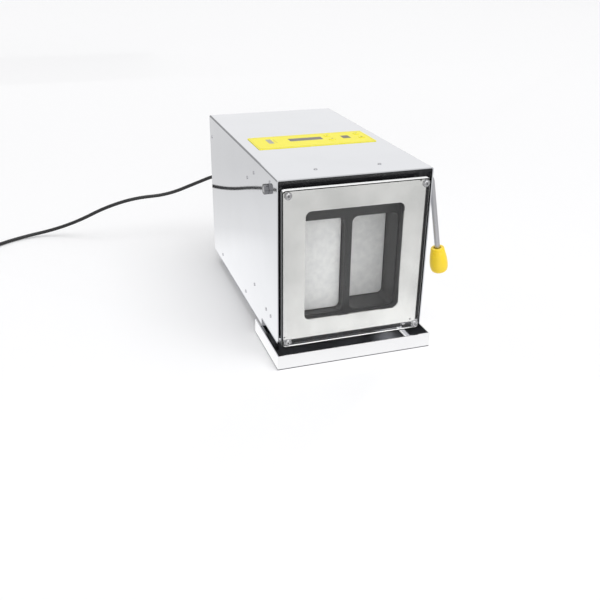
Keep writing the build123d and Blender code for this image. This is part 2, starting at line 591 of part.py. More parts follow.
# ---------------------------------------------------------------- lever
FLANGE_T = 1.6
BUSH_X0 = IN_X - PLATE                    # bush from the bulkhead's flange to the cover's face
bush = rod_x(LEVER_Y, LEVER_Z, BUSH_OUT, BUSH_X0, CASE_W / 2)
bush += rod_x(LEVER_Y, LEVER_Z, BUSH_OUT + 2, BUSH_X0 - FLANGE_T, BUSH_X0)
bush -= rod_x(LEVER_Y, LEVER_Z, LEVER_R + RUN, BUSH_X0 - FLANGE_T - 1, CASE_W / 2 + 1)
put("shaft_bushes", bush, mirror(bush, Plane.YZ))

NUT_GAP = 0.3           # nut to cover
NUT_AF = 13.0
NUT_T = 5.6
NUT_X0 = -CASE_W / 2 - NUT_GAP
GRIP_CAP = 8.0          # grip beyond the end of the rod
splay = math.radians(LEVER_SPLAY)
down = Vector(math.sin(splay), 0, -math.cos(splay))
corner = Vector(LEVER_X, LEVER_Y, LEVER_Z)
tip = corner + down * (GRIP_AT + GRIP_L - GRIP_CAP)
path = FilletPolyline(Vector(NUT_X0 - NUT_T, LEVER_Y, LEVER_Z), corner, tip, radius=LEVER_BEND)
start = Plane(origin=path @ 0, z_dir=path % 0)
put("lever_rod", sweep(start * Circle(LEVER_R), path=path))

hexa = Plane(origin=(NUT_X0, LEVER_Y, LEVER_Z), x_dir=(0, 1, 0), z_dir=(-1, 0, 0))
nut = extrude(hexa * RegularPolygon(NUT_AF / 2, 6, major_radius=False), NUT_T)
nut &= rod_x(LEVER_Y, LEVER_Z, NUT_AF / 2 + 0.6, NUT_X0 - NUT_T, NUT_X0)
put("shaft_nut", nut - rod_x(LEVER_Y, LEVER_Z, LEVER_R, NUT_X0 - NUT_T - 1, NUT_X0 + 1))

# grip: a turned body along the lever's leg, given as shares of its radius and length, with
# shallow grooves near its top and a wider mouth to its bore
GRIP_SHAPE = ((0.69, 0.0), (0.73, 0.02), (0.79, 0.12), (0.88, 0.27), (0.96, 0.45), (1.0, 0.64),
              (0.965, 0.80), (0.82, 0.92), (0.45, 0.985), (0.0, 1.0))
GROOVE_R, GROOVE_DEPTH = 0.9, 0.45
GROOVES = (2.4, 5.0, 7.6)
MOUTH_R, MOUTH_DEPTH = 5.6, 2.5
BORE_L = GRIP_L - GRIP_CAP
prof = [(r * GRIP_R, z * GRIP_L) for r, z in GRIP_SHAPE]


def grip_radius(at):
    for (r0, z0), (r1, z1) in zip(prof, prof[1:]):
        if z0 <= at < z1:
            return r0 + (r1 - r0) * (at - z0) / (z1 - z0)


with BuildSketch(Plane.XZ) as half:
    with BuildLine():
        Polyline((0, 0), prof[0], prof[1])
        Spline(*prof[1:], tangents=((0.4, 1), (-1, 0)))
        Line(prof[-1], (0, 0))
    make_face()
    with Locations(*[(grip_radius(z) + GROOVE_R - GROOVE_DEPTH, z) for z in GROOVES]):
        Circle(GROOVE_R, mode=Mode.SUBTRACT)
    with Locations((LEVER_R / 2, BORE_L / 2 - 1)):
        Rectangle(LEVER_R, BORE_L + 2, mode=Mode.SUBTRACT)
    with Locations((MOUTH_R / 2, MOUTH_DEPTH / 2 - 1)):
        Rectangle(MOUTH_R, MOUTH_DEPTH + 2, mode=Mode.SUBTRACT)
grip = revolve(half.sketch, Axis.Z)
grip_at = Plane(origin=corner + down * GRIP_AT, x_dir=(0, 1, 0), z_dir=down)
put("lever_grip", grip_at.location * grip)

# ---------------------------------------------------------------- tray and feet
tray = box(-TRAY_W / 2, TRAY_W / 2, TRAY_Y0, TRAY_Y1, 0, TRAY_H)
tray -= box(-TRAY_W / 2 + SHEET, TRAY_W / 2 - SHEET, TRAY_Y0 + SHEET, TRAY_Y1 - SHEET,
            SHEET, TRAY_H + 1)
tray -= box(-TRAY_W / 2 + SHEET, TRAY_W / 2 - SHEET, TRAY_Y1 - SHEET - 1, TRAY_Y1 + 1,
            TRAY_BACK, TRAY_H + 1)
put("drip_tray", tray)

feet = []
for fx in (-FOOT_X, FOOT_X):
    for fy in FOOT_YS:
        foot = Pos(fx, fy, STAND / 2) * Cone(FOOT_R - 2, FOOT_R, STAND)
        feet.append(foot + rod_z(fx, fy, FOOT_STUD_R, STAND, FLOOR_Z))
put("feet", feet)

# ---------------------------------------------------------------- control panel
panel_zc = (PANEL_X0 + PANEL_X1) / 2
overlay = Pos(panel_zc, (PANEL_Y0 + PANEL_Y1) / 2, CASE_Z1) * extrude(
    RectangleRounded(PANEL_X1 - PANEL_X0, PANEL_Y1 - PANEL_Y0, 2.5), PANEL_T)
overlay -= box(LENS_X0, LENS_X1, LENS_Y0, LENS_Y1, CASE_Z1 - 1, CASE_Z1 + 2)
for kx, ky in KEY_POS:
    overlay -= rod_z(kx, ky, KEY_R + KEY_GAP, CASE_Z1 - 1, CASE_Z1 + 2)
put("panel_overlay", overlay)

BRKT_DROP = 36.0        # bracket below the board
BRKT_SIDE = 40.0        # height of its side flanges
BRKT_Z = BOARD_Z - BRKT_DROP
BRKT_Y0, BRKT_Y1 = 98.0, 224.0
brkt = box(-IN_X, IN_X, BRKT_Y0, BRKT_Y1, BRKT_Z, BRKT_Z + PLATE)
for s in (-1, 1):
    a, b = sorted((s * IN_X, s * (IN_X - PLATE)))
    brkt += box(a, b, BRKT_Y0, BRKT_Y1, BRKT_Z, BRKT_Z + BRKT_SIDE)
for sy, sz in SIDE_SCREWS:
    if BRKT_Y0 < sy < BRKT_Y1 and sz > BRKT_Z:
        brkt -= rod_x(sy, sz, SCREW_R, -CASE_W, CASE_W)
put("upper_bracket", brkt)

POST_IN = 4.0           # board posts inside the board's edges
posts = []
for px in (BOARD_X0 + POST_IN, BOARD_X1 - POST_IN):
    for py in (BOARD_Y0 + POST_IN, BOARD_Y1 - POST_IN):
        posts.append(rod_z(px, py, 3.0, BRKT_Z + PLATE, BOARD_Z))
put("board_posts", posts)
put("control_board", box(BOARD_X0, BOARD_X1, BOARD_Y0, BOARD_Y1, BOARD_Z, BOARD_Z + BOARD_T))

LENS_Z1 = CASE_Z1 + PANEL_T
unit = box(LENS_X0 - 4, LENS_X1 + 4, LENS_Y0 - 4, LENS_Y1 + 4, BOARD_Z + BOARD_T, IN_Z1)
unit += box(LENS_X0, LENS_X1, LENS_Y0, LENS_Y1, BOARD_Z + BOARD_T, LENS_Z1)
put("display_unit", unit)

KEY_TRAVEL = 0.5
for i, (kx, ky) in enumerate(KEY_POS):
    key = rod_z(kx, ky, KEY_R, IN_Z1 - 0.05, CASE_Z1 + PANEL_T + KEY_PROUD)
    key = fillet(key.edges().group_by(Axis.Z)[-1], 0.4)
    key += rod_z(kx, ky, KEY_R + 1.5, IN_Z1 - 1.5, IN_Z1 - 0.05)
    key += rod_z(kx, ky, 2.0, BOARD_Z + BOARD_T + KEY_TRAVEL + 0.1, IN_Z1 - 1.5)
    put("key_%d" % (i + 1), key)

# ---------------------------------------------------------------- rear fittings
FLANGE_OUT = 2.5                         # fittings' flanges stand this far off the panel
SOCKET_W, SOCKET_H = 24.6, 16.6
SOCKET_Y0 = REAR_Y1 - 16.0
fz = INLET_Z - INLET_DROP
inlet = slab_y(INLET_W, INLET_H, 3.0, INLET_X, fz, REAR_Y1, REAR_Y1 + FLANGE_OUT)
inlet += box(INLET_X - INLET_BX, INLET_X + INLET_BX, REAR_Y1 - 24, REAR_Y1,
             fz - INLET_BZ, fz + INLET_BZ)
inlet -= slab_y(SOCKET_W, SOCKET_H, 2.0, INLET_X, INLET_Z, SOCKET_Y0, REAR_Y1 + 10)
DRAW_W, DRAW_H = 25.0, 8.0
DRAW_Z = INLET_Z - SOCKET_H / 2 - 3.0 - DRAW_H / 2 - 1.0
SLIDE_GAP = 0.2
DRAW_Y0 = REAR_Y1 - 18.0
inlet -= box(INLET_X - DRAW_W / 2 - SLIDE_GAP, INLET_X + DRAW_W / 2 + SLIDE_GAP, DRAW_Y0 - SLIDE_GAP,
             REAR_Y1 + 10, DRAW_Z - DRAW_H / 2 - SLIDE_GAP, DRAW_Z + DRAW_H / 2 + SLIDE_GAP)
PIN_POS = ((-7.0, -2.0), (7.0, -2.0), (0.0, 2.0))
pins = []
for px, pz in PIN_POS:
    pins.append(box(INLET_X + px - 1, INLET_X + px + 1, SOCKET_Y0, REAR_Y1 - 1,
                    INLET_Z + pz - 2, INLET_Z + pz + 2))
put("inlet", inlet, pins)

DRAW_WALL, DRAW_PROUD = 1.5, 1.5         # its walls, and its front outside the flange
drawer = box(INLET_X - DRAW_W / 2, INLET_X + DRAW_W / 2, DRAW_Y0,
             REAR_Y1 + FLANGE_OUT + DRAW_PROUD, DRAW_Z - DRAW_H / 2, DRAW_Z + DRAW_H / 2)
drawer -= box(INLET_X - DRAW_W / 2 + DRAW_WALL, INLET_X + DRAW_W / 2 - DRAW_WALL,
              DRAW_Y0 + DRAW_WALL, REAR_Y1 - 2, DRAW_Z - DRAW_H / 2 + DRAW_WALL, DRAW_Z + DRAW_H)
put("fuse_drawer", drawer)

HOUS_W, HOUS_H = 21.0, 33.0
hous = slab_y(HOUS_W, HOUS_H, 2.5, SWITCH_X, SWITCH_Z, REAR_Y1, REAR_Y1 + FLANGE_OUT)
hous += box(SWITCH_X - SWITCH_BX, SWITCH_X + SWITCH_BX, REAR_Y1 - 20, REAR_Y1,
            SWITCH_Z - SWITCH_BZ, SWITCH_Z + SWITCH_BZ)
WELL_BX, WELL_BZ = 6.3, 12.2             # half width and height of the rocker's well
WELL_DEPTH = 12.0
hous -= box(SWITCH_X - WELL_BX, SWITCH_X + WELL_BX, REAR_Y1 - WELL_DEPTH, REAR_Y1 + 10,
            SWITCH_Z - WELL_BZ, SWITCH_Z + WELL_BZ)
ROCK_Y = REAR_Y1 - 1.0
ROCK_R = 1.5
hous -= rod_x(ROCK_Y, SWITCH_Z, ROCK_R + RUN, SWITCH_X - 7.5, SWITCH_X + 7.5)
put("switch_housing", hous)
rock_prof = Polygon((-5.0, -8.0), (1.0, -11.2), (5.5, -10.6), (3.4, 0.0), (5.5, 10.6),
                    (1.0, 11.2), (-5.0, 8.0), align=None)
rock_prof = Pos(ROCK_Y, SWITCH_Z) * Rot(0, 0, ROCK_TILT) * rock_prof
rocker = slab_x(rock_prof, SWITCH_X - 6.0, SWITCH_X + 6.0)
rocker += rod_x(ROCK_Y, SWITCH_Z, ROCK_R, SWITCH_X - 7.3, SWITCH_X + 7.3)
put("switch_rocker", rocker)

# ---------------------------------------------------------------- cord
conn = slab_y(SOCKET_W - 2 * NOSE_GAP, SOCKET_H - 2 * NOSE_GAP, 1.8, INLET_X, INLET_Z,
              SOCKET_Y0 + 1.5, REAR_Y1 + FLANGE_OUT + 0.5)
conn += slab_y(SOCKET_W + 3.4, SOCKET_H + 3.4, 4.0, INLET_X, INLET_Z,
               REAR_Y1 + FLANGE_OUT + 0.5, CONN_Y1)
for px, pz in PIN_POS:
    conn -= box(INLET_X + px - 1 - NOSE_GAP, INLET_X + px + 1 + NOSE_GAP, 0, REAR_Y1,
                INLET_Z + pz - 2 - NOSE_GAP, INLET_Z + pz + 2 + NOSE_GAP)
taper = Pos(INLET_X, (CONN_Y1 + RELIEF_Y1) / 2, INLET_Z) * Rot(-90, 0, 0) \
    * Cone(7.5, CORD_D / 2 + 0.6, RELIEF_Y1 - CONN_Y1)
put("mains_connector", conn + taper)


def tube(edges):
    wire = Wire(edges)
    at = Plane(origin=wire @ 0, z_dir=wire % 0)
    solid = sweep(at * Circle(CORD_D / 2), path=wire)
    want = math.pi * CORD_D ** 2 / 4 * wire.length
    print("tube length", round(wire.length, 1), "volume ratio", round(solid.volume / want, 5))
    return solid, wire


def route_edges(points):
    # straight runs joined by tangent arcs, each as large as its two runs allow
    pts = [Vector(*p) for p in points]
    edges, at = [], pts[0]
    for a, v, b in zip(pts, pts[1:], pts[2:]):
        u, w = (a - v).normalized(), (b - v).normalized()
        t = 0.45 * min((a - v).length, (b - v).length)
        half = math.acos(max(-1, min(1, u.dot(w)))) / 2
        radius = t * math.tan(half)
        mid = v + (u + w).normalized() * (t / math.cos(half) - radius)
        print("run %.0f, turn %.0f deg, arc radius %.0f"
              % ((v - a).length, 180 - 2 * math.degrees(half), radius))
        edges.append(Edge.make_line(at, v + u * t))
        edges.append(Edge.make_three_point_arc(v + u * t, mid, v + w * t))
        at = v + w * t
    edges.append(Edge.make_line(at, pts[-1]))
    return edges


cord, cord_wire = tube(route_edges(CORD_ROUTE))
put("mains_cord", cord)

# the put-away length: a clockwise coil, spiralling in on the bench and out again on top
heading = (Vector(*CORD_ROUTE[-1]) - Vector(*CORD_ROUTE[-2])).normalized()
coil_in = Vector(*CORD_ROUTE[-1])
coil_c = coil_in + Vector(heading.Y, -heading.X, 0) * COIL_RO
turn0 = math.atan2(coil_in.Y - coil_c.Y, coil_in.X - coil_c.X)


def coil_station(u, r, dr, z):
    a = turn0 - 2 * math.pi * u
    at = Vector(coil_c.X + r * math.cos(a), coil_c.Y + r * math.sin(a), z)
    run = Vector(math.sin(a), -math.cos(a), 0) * (2 * math.pi * r)
    return at, (run + Vector(math.cos(a), math.sin(a), 0) * dr).normalized()


def biarc(p0, t0, p1, t1):
    v, t = p1 - p0, t0 + t1
    k = 2 * (1 - t0.dot(t1))
    if k < 1e-9:
        d = v.dot(v) / (4 * v.dot(t0))
    else:
        d = (-v.dot(t) + math.sqrt(v.dot(t) ** 2 + k * v.dot(v))) / k
    a, b = p0 + t0 * d, p1 - t1 * d
    mid = (a + b) * 0.5
    tm = (b - a).normalized()
    return [Edge.make_tangent_arc(p0, t0, mid), Edge.make_tangent_arc(mid, tm, p1)]


STEP = 0.25
COIL_RI = COIL_RO - COIL_PITCH * COIL_TURNS
z_low = coil_in.Z
stations = []
n = int(COIL_TURNS / STEP)
for i in range(n + 1):
    dr = 0 if i in (0, n) else -COIL_PITCH
    stations.append(coil_station(i * STEP, COIL_RO - COIL_PITCH * i * STEP, dr, z_low))
for i in range(n + 1):
    dr = 0 if i in (0, n) else COIL_PITCH
    stations.append(coil_station(COIL_TURNS + (i + 1) * STEP, COIL_RI + COIL_PITCH * i * STEP, dr,
                                 z_low + COIL_LIFT))
coil_end, coil_dir = stations[-1]
plug_in = coil_end + coil_dir * TAIL_L
plug_in = Vector(plug_in.X, plug_in.Y, PLUG_T / 2)
stations.append((plug_in, coil_dir))
coil_edges = []
for (p0, t0), (p1, t1) in zip(stations, stations[1:]):
    coil_edges += biarc(p0, t0, p1, t1)
coil, coil_wire = tube(coil_edges)
put("cord_coil", coil)

samples, lengths, run = [], [], 0.0
for e in coil_edges:
    for i in range(12):
        samples.append(e @ (i / 12))
        lengths.append(run + e.length * i / 12)
    run += e.length
least = min((samples[i] - samples[j]).length for i in range(len(samples))
            for j in range(i + 1, len(samples)) if lengths[j] - lengths[i] > 4 * CORD_D)
print("coil: least gap to itself", round(least - CORD_D, 2), "outside", 2 * COIL_RO + CORD_D)
print("cord length with its ends, mm", round(cord_wire.length + coil_wire.length
      + RELIEF_Y1 - REAR_Y1 + PLUG_RELIEF + PLUG_L))

# plug: a flat moulded block with three pins in line, lying on the bench
plug_at = Plane(origin=plug_in, x_dir=Vector(coil_dir.Y, -coil_dir.X, 0), z_dir=coil_dir).location
plug = Pos(0, 0, PLUG_RELIEF / 2) * Cone(CORD_D / 2 + 0.6, 7.0, PLUG_RELIEF)
block = Pos(0, 0, PLUG_RELIEF + PLUG_L / 2) * Box(PLUG_W, PLUG_T, PLUG_L)
block = fillet(block.edges().filter_by(Axis.Z), 5.0)
plug += block
plug_pins = [Pos(px, 0, PLUG_RELIEF + PLUG_L + 9.5) * Cylinder(2.0, 19.0) for px in (-9.5, 0, 9.5)]
put("mains_plug", plug_at * plug, [plug_at * p for p in plug_pins])

# ---------------------------------------------------------------- origin and export
X_MIN = min(-TRAY_W / 2, NUT_X0 - NUT_T)
X_MAX = nodes["lever_grip"][0].bounding_box().max.X
Y_MIN = TRAY_Y0
Y_MAX = CASE_D
OX, OY = (X_MIN + X_MAX) / 2, (Y_MIN + Y_MAX) / 2
print("origin shift", round(OX, 4), round(OY, 4))

os.makedirs("parts", exist_ok=True)
for name, solids in nodes.items():
    moved = [s.moved(Location((-OX, -OY, 0))) for s in solids]
    shape = moved[0] if len(moved) == 1 else Compound(children=moved)
    export_step(shape, "parts/" + name + ".step")
print("nodes", len(nodes), "solids", sum(len(v) for v in nodes.values()))
print("volume cm3", {n: round(sum(s.volume for s in v) / 1000, 2) for n, v in nodes.items()})
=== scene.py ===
import json
import math

import bmesh
import bpy
from mathutils import Matrix, Vector


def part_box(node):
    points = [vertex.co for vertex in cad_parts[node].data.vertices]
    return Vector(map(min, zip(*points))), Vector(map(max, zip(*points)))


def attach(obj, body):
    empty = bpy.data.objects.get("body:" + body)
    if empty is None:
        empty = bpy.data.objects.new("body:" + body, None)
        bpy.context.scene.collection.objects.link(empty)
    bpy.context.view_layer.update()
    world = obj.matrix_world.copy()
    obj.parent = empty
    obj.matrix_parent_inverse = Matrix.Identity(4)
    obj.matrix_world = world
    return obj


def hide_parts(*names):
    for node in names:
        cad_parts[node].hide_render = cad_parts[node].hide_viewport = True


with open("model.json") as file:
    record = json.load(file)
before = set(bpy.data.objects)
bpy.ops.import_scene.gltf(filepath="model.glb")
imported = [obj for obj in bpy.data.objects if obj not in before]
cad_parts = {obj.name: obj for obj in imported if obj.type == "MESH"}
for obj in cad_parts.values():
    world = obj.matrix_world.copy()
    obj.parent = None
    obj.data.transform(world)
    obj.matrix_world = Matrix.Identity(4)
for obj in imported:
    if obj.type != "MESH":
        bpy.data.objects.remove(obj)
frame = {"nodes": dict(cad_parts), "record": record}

# A bench paddle blender: brushed case, clear bottom-hinged door over a polished plate,
# side lever with a yellow grip, yellow control film, drip tray and mains lead.
# Lengths are in metres. AT turns a place measured from the case's front edge and centre
# line into the frame's own coordinates.
case_low, case_high = (Vector(corner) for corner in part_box("cover"))
AT = Vector(((case_low.x + case_high.x) / 2, case_low.y, 0.0))
CASE_TOP = 0.264
FILM_T = 0.0008
FILM_TOP = CASE_TOP + FILM_T

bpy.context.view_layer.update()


# ------------------------------------------------------------------ camera
CAM_AT = AT + Vector((-0.37058, -0.86810, 0.53761))
CAM_AZIMUTH, CAM_ELEVATION, CAM_ROLL = 18.66, -25.89, 0.63     # degrees
CAM_LENS = 44.67                                               # mm on a 36 mm sensor


def make_camera():
    az, el, roll = (math.radians(a) for a in (CAM_AZIMUTH, CAM_ELEVATION, CAM_ROLL))
    look = Vector((math.sin(az) * math.cos(el), math.cos(az) * math.cos(el), math.sin(el)))
    side = look.cross(Vector((0, 0, 1))).normalized()
    up = side.cross(look)
    right = side * math.cos(roll) + up * math.sin(roll)
    top = up * math.cos(roll) - side * math.sin(roll)
    data = bpy.data.cameras.new("camera")
    data.sensor_fit = "HORIZONTAL"
    data.sensor_width = 36.0
    data.lens = CAM_LENS
    data.clip_end = 100.0
    cam = bpy.data.objects.new("camera", data)
    cam.matrix_world = Matrix.Translation(CAM_AT) @ Matrix((right, top, -look)).transposed().to_4x4()
    bpy.context.scene.collection.objects.link(cam)
    bpy.context.scene.camera = cam


make_camera()

# ------------------------------------------------------------------ mains lead
CORD_D = 0.0065
CORD_ROUTE = ((-0.075, 0.460, 0.128), (-0.075, 0.506, 0.128), (-0.111, 0.540, 0.104),
              (-0.170, 0.548, 0.082), (-0.232, 0.544, 0.083), (-0.290, 0.554, 0.066),
              (-0.341, 0.580, 0.035), (-0.392, 0.606, 0.012), (-0.446, 0.608, 0.0036),
              (-0.492, 0.580, 0.0036), (-0.528, 0.545, 0.0036))
COIL_RO, COIL_PITCH, COIL_LIFT = 0.044, 0.0076, 0.0076
COIL_TURNS = 2.5
COIL_STEPS = 16            # spline points in each turn
TAIL_L = 0.042
PLUG_HALF = 0.008


def coil_points():
    # clockwise, in on the bench, up in a quarter turn and out again on top
    a, b = Vector(CORD_ROUTE[-2]), Vector(CORD_ROUTE[-1])
    heading = (b - a).normalized()
    middle = b + Vector((heading.y, -heading.x, 0)) * COIL_RO
    start = math.atan2(b.y - middle.y, b.x - middle.x)
    step = 2 * math.pi / COIL_STEPS
    out = 1 / math.cos(step / 2)         # the curve runs inside its control points
    count = round(COIL_TURNS * COIL_STEPS)
    inner = COIL_RO - COIL_PITCH * COIL_TURNS
    climb = COIL_STEPS // 4
    turns = [(i, COIL_RO - COIL_PITCH * i / COIL_STEPS, 0) for i in range(1, count + 1)]
    turns += [(count + i, inner, COIL_LIFT * i / climb) for i in range(1, climb)]
    turns += [(count + climb + i, inner + COIL_PITCH * i / COIL_STEPS, COIL_LIFT)
              for i in range(count + 1)]
    pts = []
    for i, r, lift in turns:
        t = start - step * i
        pts.append(Vector((middle.x + r * out * math.cos(t), middle.y + r * out * math.sin(t),
                           b.z + lift)))
    leave = Vector((math.sin(t), -math.cos(t), 0))
    end = Vector((middle.x + COIL_RO * math.cos(t), middle.y + COIL_RO * math.sin(t), 0))
    end += leave * TAIL_L
    pts.append(Vector((end.x, end.y, PLUG_HALF)))
    return pts


def make_cord():
    pts = [Vector(p) + AT for p in CORD_ROUTE] + [p + AT for p in coil_points()]
    curve = bpy.data.curves.new("mains_lead", "CURVE")
    curve.dimensions = "3D"
    line = curve.splines.new("NURBS")
    line.points.add(len(pts) - 1)
    for point, p in zip(line.points, pts):
        point.co = (*p, 1)
        point.radius = CORD_D / 2
    line.order_u = 3
    line.use_endpoint_u = True
    line.resolution_u = 10
    curve.bevel_depth = 1.0
    curve.bevel_resolution = 6
    curve.use_fill_caps = True
    lead = bpy.data.objects.new("mains_lead", curve)
    bpy.context.scene.collection.objects.link(lead)
    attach(lead, "chassis")
    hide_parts("mains_cord", "cord_coil")
    return lead


lead = make_cord()


# ------------------------------------------------------------------ material parts
def new_material(name, color, **sockets):
    mat = bpy.data.materials.new(name)
    mat.use_nodes = True
    tree = mat.node_tree
    bsdf = tree.nodes["Principled BSDF"]
    bsdf.inputs["Base Color"].default_value = (*color, 1)
    for key, value in sockets.items():
        bsdf.inputs[key.replace("_", " ")].default_value = value
    return mat, tree, bsdf


def noise(tree, scale, detail=3.0, stretch=(1, 1, 1)):
    where = tree.nodes.new("ShaderNodeTexCoord")
    mapping = tree.nodes.new("ShaderNodeMapping")
    mapping.inputs["Scale"].default_value = stretch
    tex = tree.nodes.new("ShaderNodeTexNoise")
    tex.inputs["Scale"].default_value = scale
    tex.inputs["Detail"].default_value = detail
    tree.links.new(where.outputs["Object"], mapping.inputs["Vector"])
    tree.links.new(mapping.outputs["Vector"], tex.inputs["Vector"])
    return tex.outputs["Fac"]


def vary_color(tree, bsdf, fac, low, high, spread=(0.3, 0.7)):
    ramp = tree.nodes.new("ShaderNodeValToRGB")
    ramp.color_ramp.elements[0].position = spread[0]
    ramp.color_ramp.elements[1].position = spread[1]
    ramp.color_ramp.elements[0].color = (*low, 1)
    ramp.color_ramp.elements[1].color = (*high, 1)
    tree.links.new(fac, ramp.inputs["Fac"])
    tree.links.new(ramp.outputs["Color"], bsdf.inputs["Base Color"])


def vary_rough(tree, bsdf, fac, low, high):
    span = tree.nodes.new("ShaderNodeMapRange")
    span.inputs["To Min"].default_value = low
    span.inputs["To Max"].default_value = high
    tree.links.new(fac, span.inputs["Value"])
    tree.links.new(span.outputs["Result"], bsdf.inputs["Roughness"])


def relief(tree, bsdf, fac, strength, depth):
    bump = tree.nodes.new("ShaderNodeBump")
    bump.inputs["Strength"].default_value = strength
    bump.inputs["Distance"].default_value = depth
    tree.links.new(fac, bump.inputs["Height"])
    tree.links.new(bump.outputs["Normal"], bsdf.inputs["Normal"])


def shade(color, k):
    return tuple(min(1.0, c * k) for c in color)


def metal(name, color, rough, grain=(1, 0.02, 1), scale=900, mottle=0.04, bump=0.03):
    # grain: how a round noise is stretched along the brushing; mottle: how far the colour
    # drifts over some centimetres; bump: strength of the brushed relief
    mat, tree, bsdf = new_material(name, color, Metallic=1.0)
    blot = noise(tree, 14, 4)
    vary_color(tree, bsdf, blot, shade(color, 1 - mottle), shade(color, 1 + mottle))
    streak = noise(tree, scale, 2, grain)
    vary_rough(tree, bsdf, streak, rough * 0.75, rough * 1.3)
    relief(tree, bsdf, streak, bump, 0.00004)
    return mat


def plastic(name, color, rough, scale=1400, bump=0.12, coat=0.0, mottle=0.06):
    mat, tree, bsdf = new_material(name, color, Coat_Weight=coat)
    blot = noise(tree, 30, 3)
    vary_color(tree, bsdf, blot, shade(color, 1 - mottle), shade(color, 1 + mottle))
    skin = noise(tree, scale, 2)
    vary_rough(tree, bsdf, skin, rough * 0.85, rough * 1.15)
    relief(tree, bsdf, skin, bump, 0.00008)
    return mat


# ------------------------------------------------------------------ materials
ROUND = (1, 1, 1)
ALONG_X = (0.02, 1, 1)
ALONG_Y = (1, 0.02, 1)
ALONG_Z = (1, 1, 0.02)


def paddle_finish():
    mat, tree, bsdf = new_material("paddle_steel", (0.80, 0.80, 0.79), Metallic=0.1)
    cloud = noise(tree, 130, 6)
    vary_color(tree, bsdf, cloud, (0.73, 0.73, 0.73), (0.83, 0.83, 0.82), (0.3, 0.68))
    fine = noise(tree, 900, 3)
    vary_rough(tree, bsdf, fine, 0.42, 0.6)
    relief(tree, bsdf, fine, 0.15, 0.0001)
    return mat


# metal: colour, roughness, grain, noise scale, mottle, bump
# plastic: colour, roughness, noise scale, bump, coat, mottle
MATERIALS = {
    "stainless_cover": metal("stainless_cover", (0.74, 0.75, 0.78), 0.06, ALONG_Y, 1100, 0.015, 0.015),
    "stainless_bright": metal("stainless_bright", (0.79, 0.785, 0.77), 0.11, ALONG_X, 700, 0.12),
    "zinc_sheet": metal("zinc_sheet", (0.56, 0.57, 0.60), 0.34, ROUND, 120, 0.12, 0.06),
    "black_paint": plastic("black_paint", (0.022, 0.022, 0.025), 0.24, 900, 0.04),
    "paddle_steel": paddle_finish(),
    "ground_steel": metal("ground_steel", (0.62, 0.62, 0.64), 0.28, ALONG_X, 900),
    "yoke_alloy": metal("yoke_alloy", (0.70, 0.71, 0.73), 0.33, ALONG_Z, 800, 0.05),
    "bronze": metal("bronze", (0.60, 0.42, 0.20), 0.35, ROUND, 500, 0.08),
    "bearing_steel": metal("bearing_steel", (0.72, 0.72, 0.74), 0.16, ALONG_X, 900),
    "bright_screws": metal("bright_screws", (0.42, 0.42, 0.43), 0.14, ROUND, 600, 0.02),
    "belt_rubber": plastic("belt_rubber", (0.018, 0.018, 0.018), 0.75, 700, 0.35),
    "foot_rubber": plastic("foot_rubber", (0.025, 0.025, 0.026), 0.80, 600, 0.35),
    "motor_paint": plastic("motor_paint", (0.10, 0.11, 0.13), 0.42, 500, 0.2),
    "yellow_grip": plastic("yellow_grip", (0.98, 0.70, 0.014), 0.33, 500, 0.05, 0.15, 0.03),
    "yellow_film": plastic("yellow_film", (0.95, 0.86, 0.045), 0.45, 2200, 0.10, 0.0, 0.02),
    "display_dark": plastic("display_dark", (0.11, 0.092, 0.082), 0.30, 300, 0.02, 0.0, 0.04),
    "board_green": plastic("board_green", (0.02, 0.13, 0.05), 0.35, 300, 0.3, 0.3, 0.15),
    "fitting_black": plastic("fitting_black", (0.028, 0.028, 0.030), 0.55, 1100, 0.25),
    "cord_black": plastic("cord_black", (0.007, 0.007, 0.008), 0.5, 1500, 0.20),
}
LEVER_STEEL = metal("lever_steel", (0.50, 0.50, 0.52), 0.30, ALONG_Z, 700, 0.04)
# the chamber's own duller black, darkened below the case's black paint as painted shade inside the chamber
CHAMBER_BLACK_SHADED = plastic("chamber_black_shaded", (0.006, 0.006, 0.007), 0.45, 900, 0.06)
TRAY_STEEL = metal("tray_steel", (0.83, 0.83, 0.84), 0.08, ALONG_X, 700, 0.02)
# painted shade: the dark strip round the tray's foot
TRAY_FOOT_SHADE = metal("tray_foot_shade", (0.10, 0.10, 0.11), 0.4, ALONG_X, 700, 0.02)
SCREW_STEEL = metal("screw_steel", (0.46, 0.46, 0.48), 0.30, ROUND, 600, 0.03)
NUT_STEEL = metal("nut_steel", (0.22, 0.22, 0.23), 0.14, ROUND, 600, 0.03)


SHEET_PASSES = 0.98        # share of a lamp's light that the clear sheet lets through
PANE_IOR = 1.38
EDGE_IOR = 1.49


def let_lamps_through(tree, bsdf):
    # clear sheet casts almost no shadow
    path = tree.nodes.new("ShaderNodeLightPath")
    clear = tree.nodes.new("ShaderNodeBsdfTransparent")
    clear.inputs["Color"].default_value = (SHEET_PASSES, SHEET_PASSES, SHEET_PASSES, 1)
    mix = tree.nodes.new("ShaderNodeMixShader")
    tree.links.new(path.outputs["Is Shadow Ray"], mix.inputs["Fac"])
    tree.links.new(bsdf.outputs[0], mix.inputs[1])
    tree.links.new(clear.outputs[0], mix.inputs[2])
    tree.links.new(mix.outputs[0], tree.nodes["Material Output"].inputs["Surface"])


def clear_pane_finish():
    mat, tree, bsdf = new_material("clear_pane", (0.985, 0.99, 0.99), Transmission_Weight=1.0, IOR=PANE_IOR)
    smear = noise(tree, 9, 3)
    vary_rough(tree, bsdf, smear, 0.0, 0.018)
    let_lamps_through(tree, bsdf)
    return mat


EDGE_GLOW = 0.28           # a painted glow on the sawn upper and lower edges, in place of the light that the clear sheet carries to them


def pane_rim_painted_light(name, color, glow=0.0):
    mat, tree, bsdf = new_material(name, color, IOR=EDGE_IOR, Emission_Color=(1, 1, 1, 1),
                                   Emission_Strength=glow)
    saw = noise(tree, 260, 3, (1, 0.1, 1))
    vary_rough(tree, bsdf, saw, 0.25, 0.42)
    relief(tree, bsdf, saw, 0.1, 0.0001)
    return mat


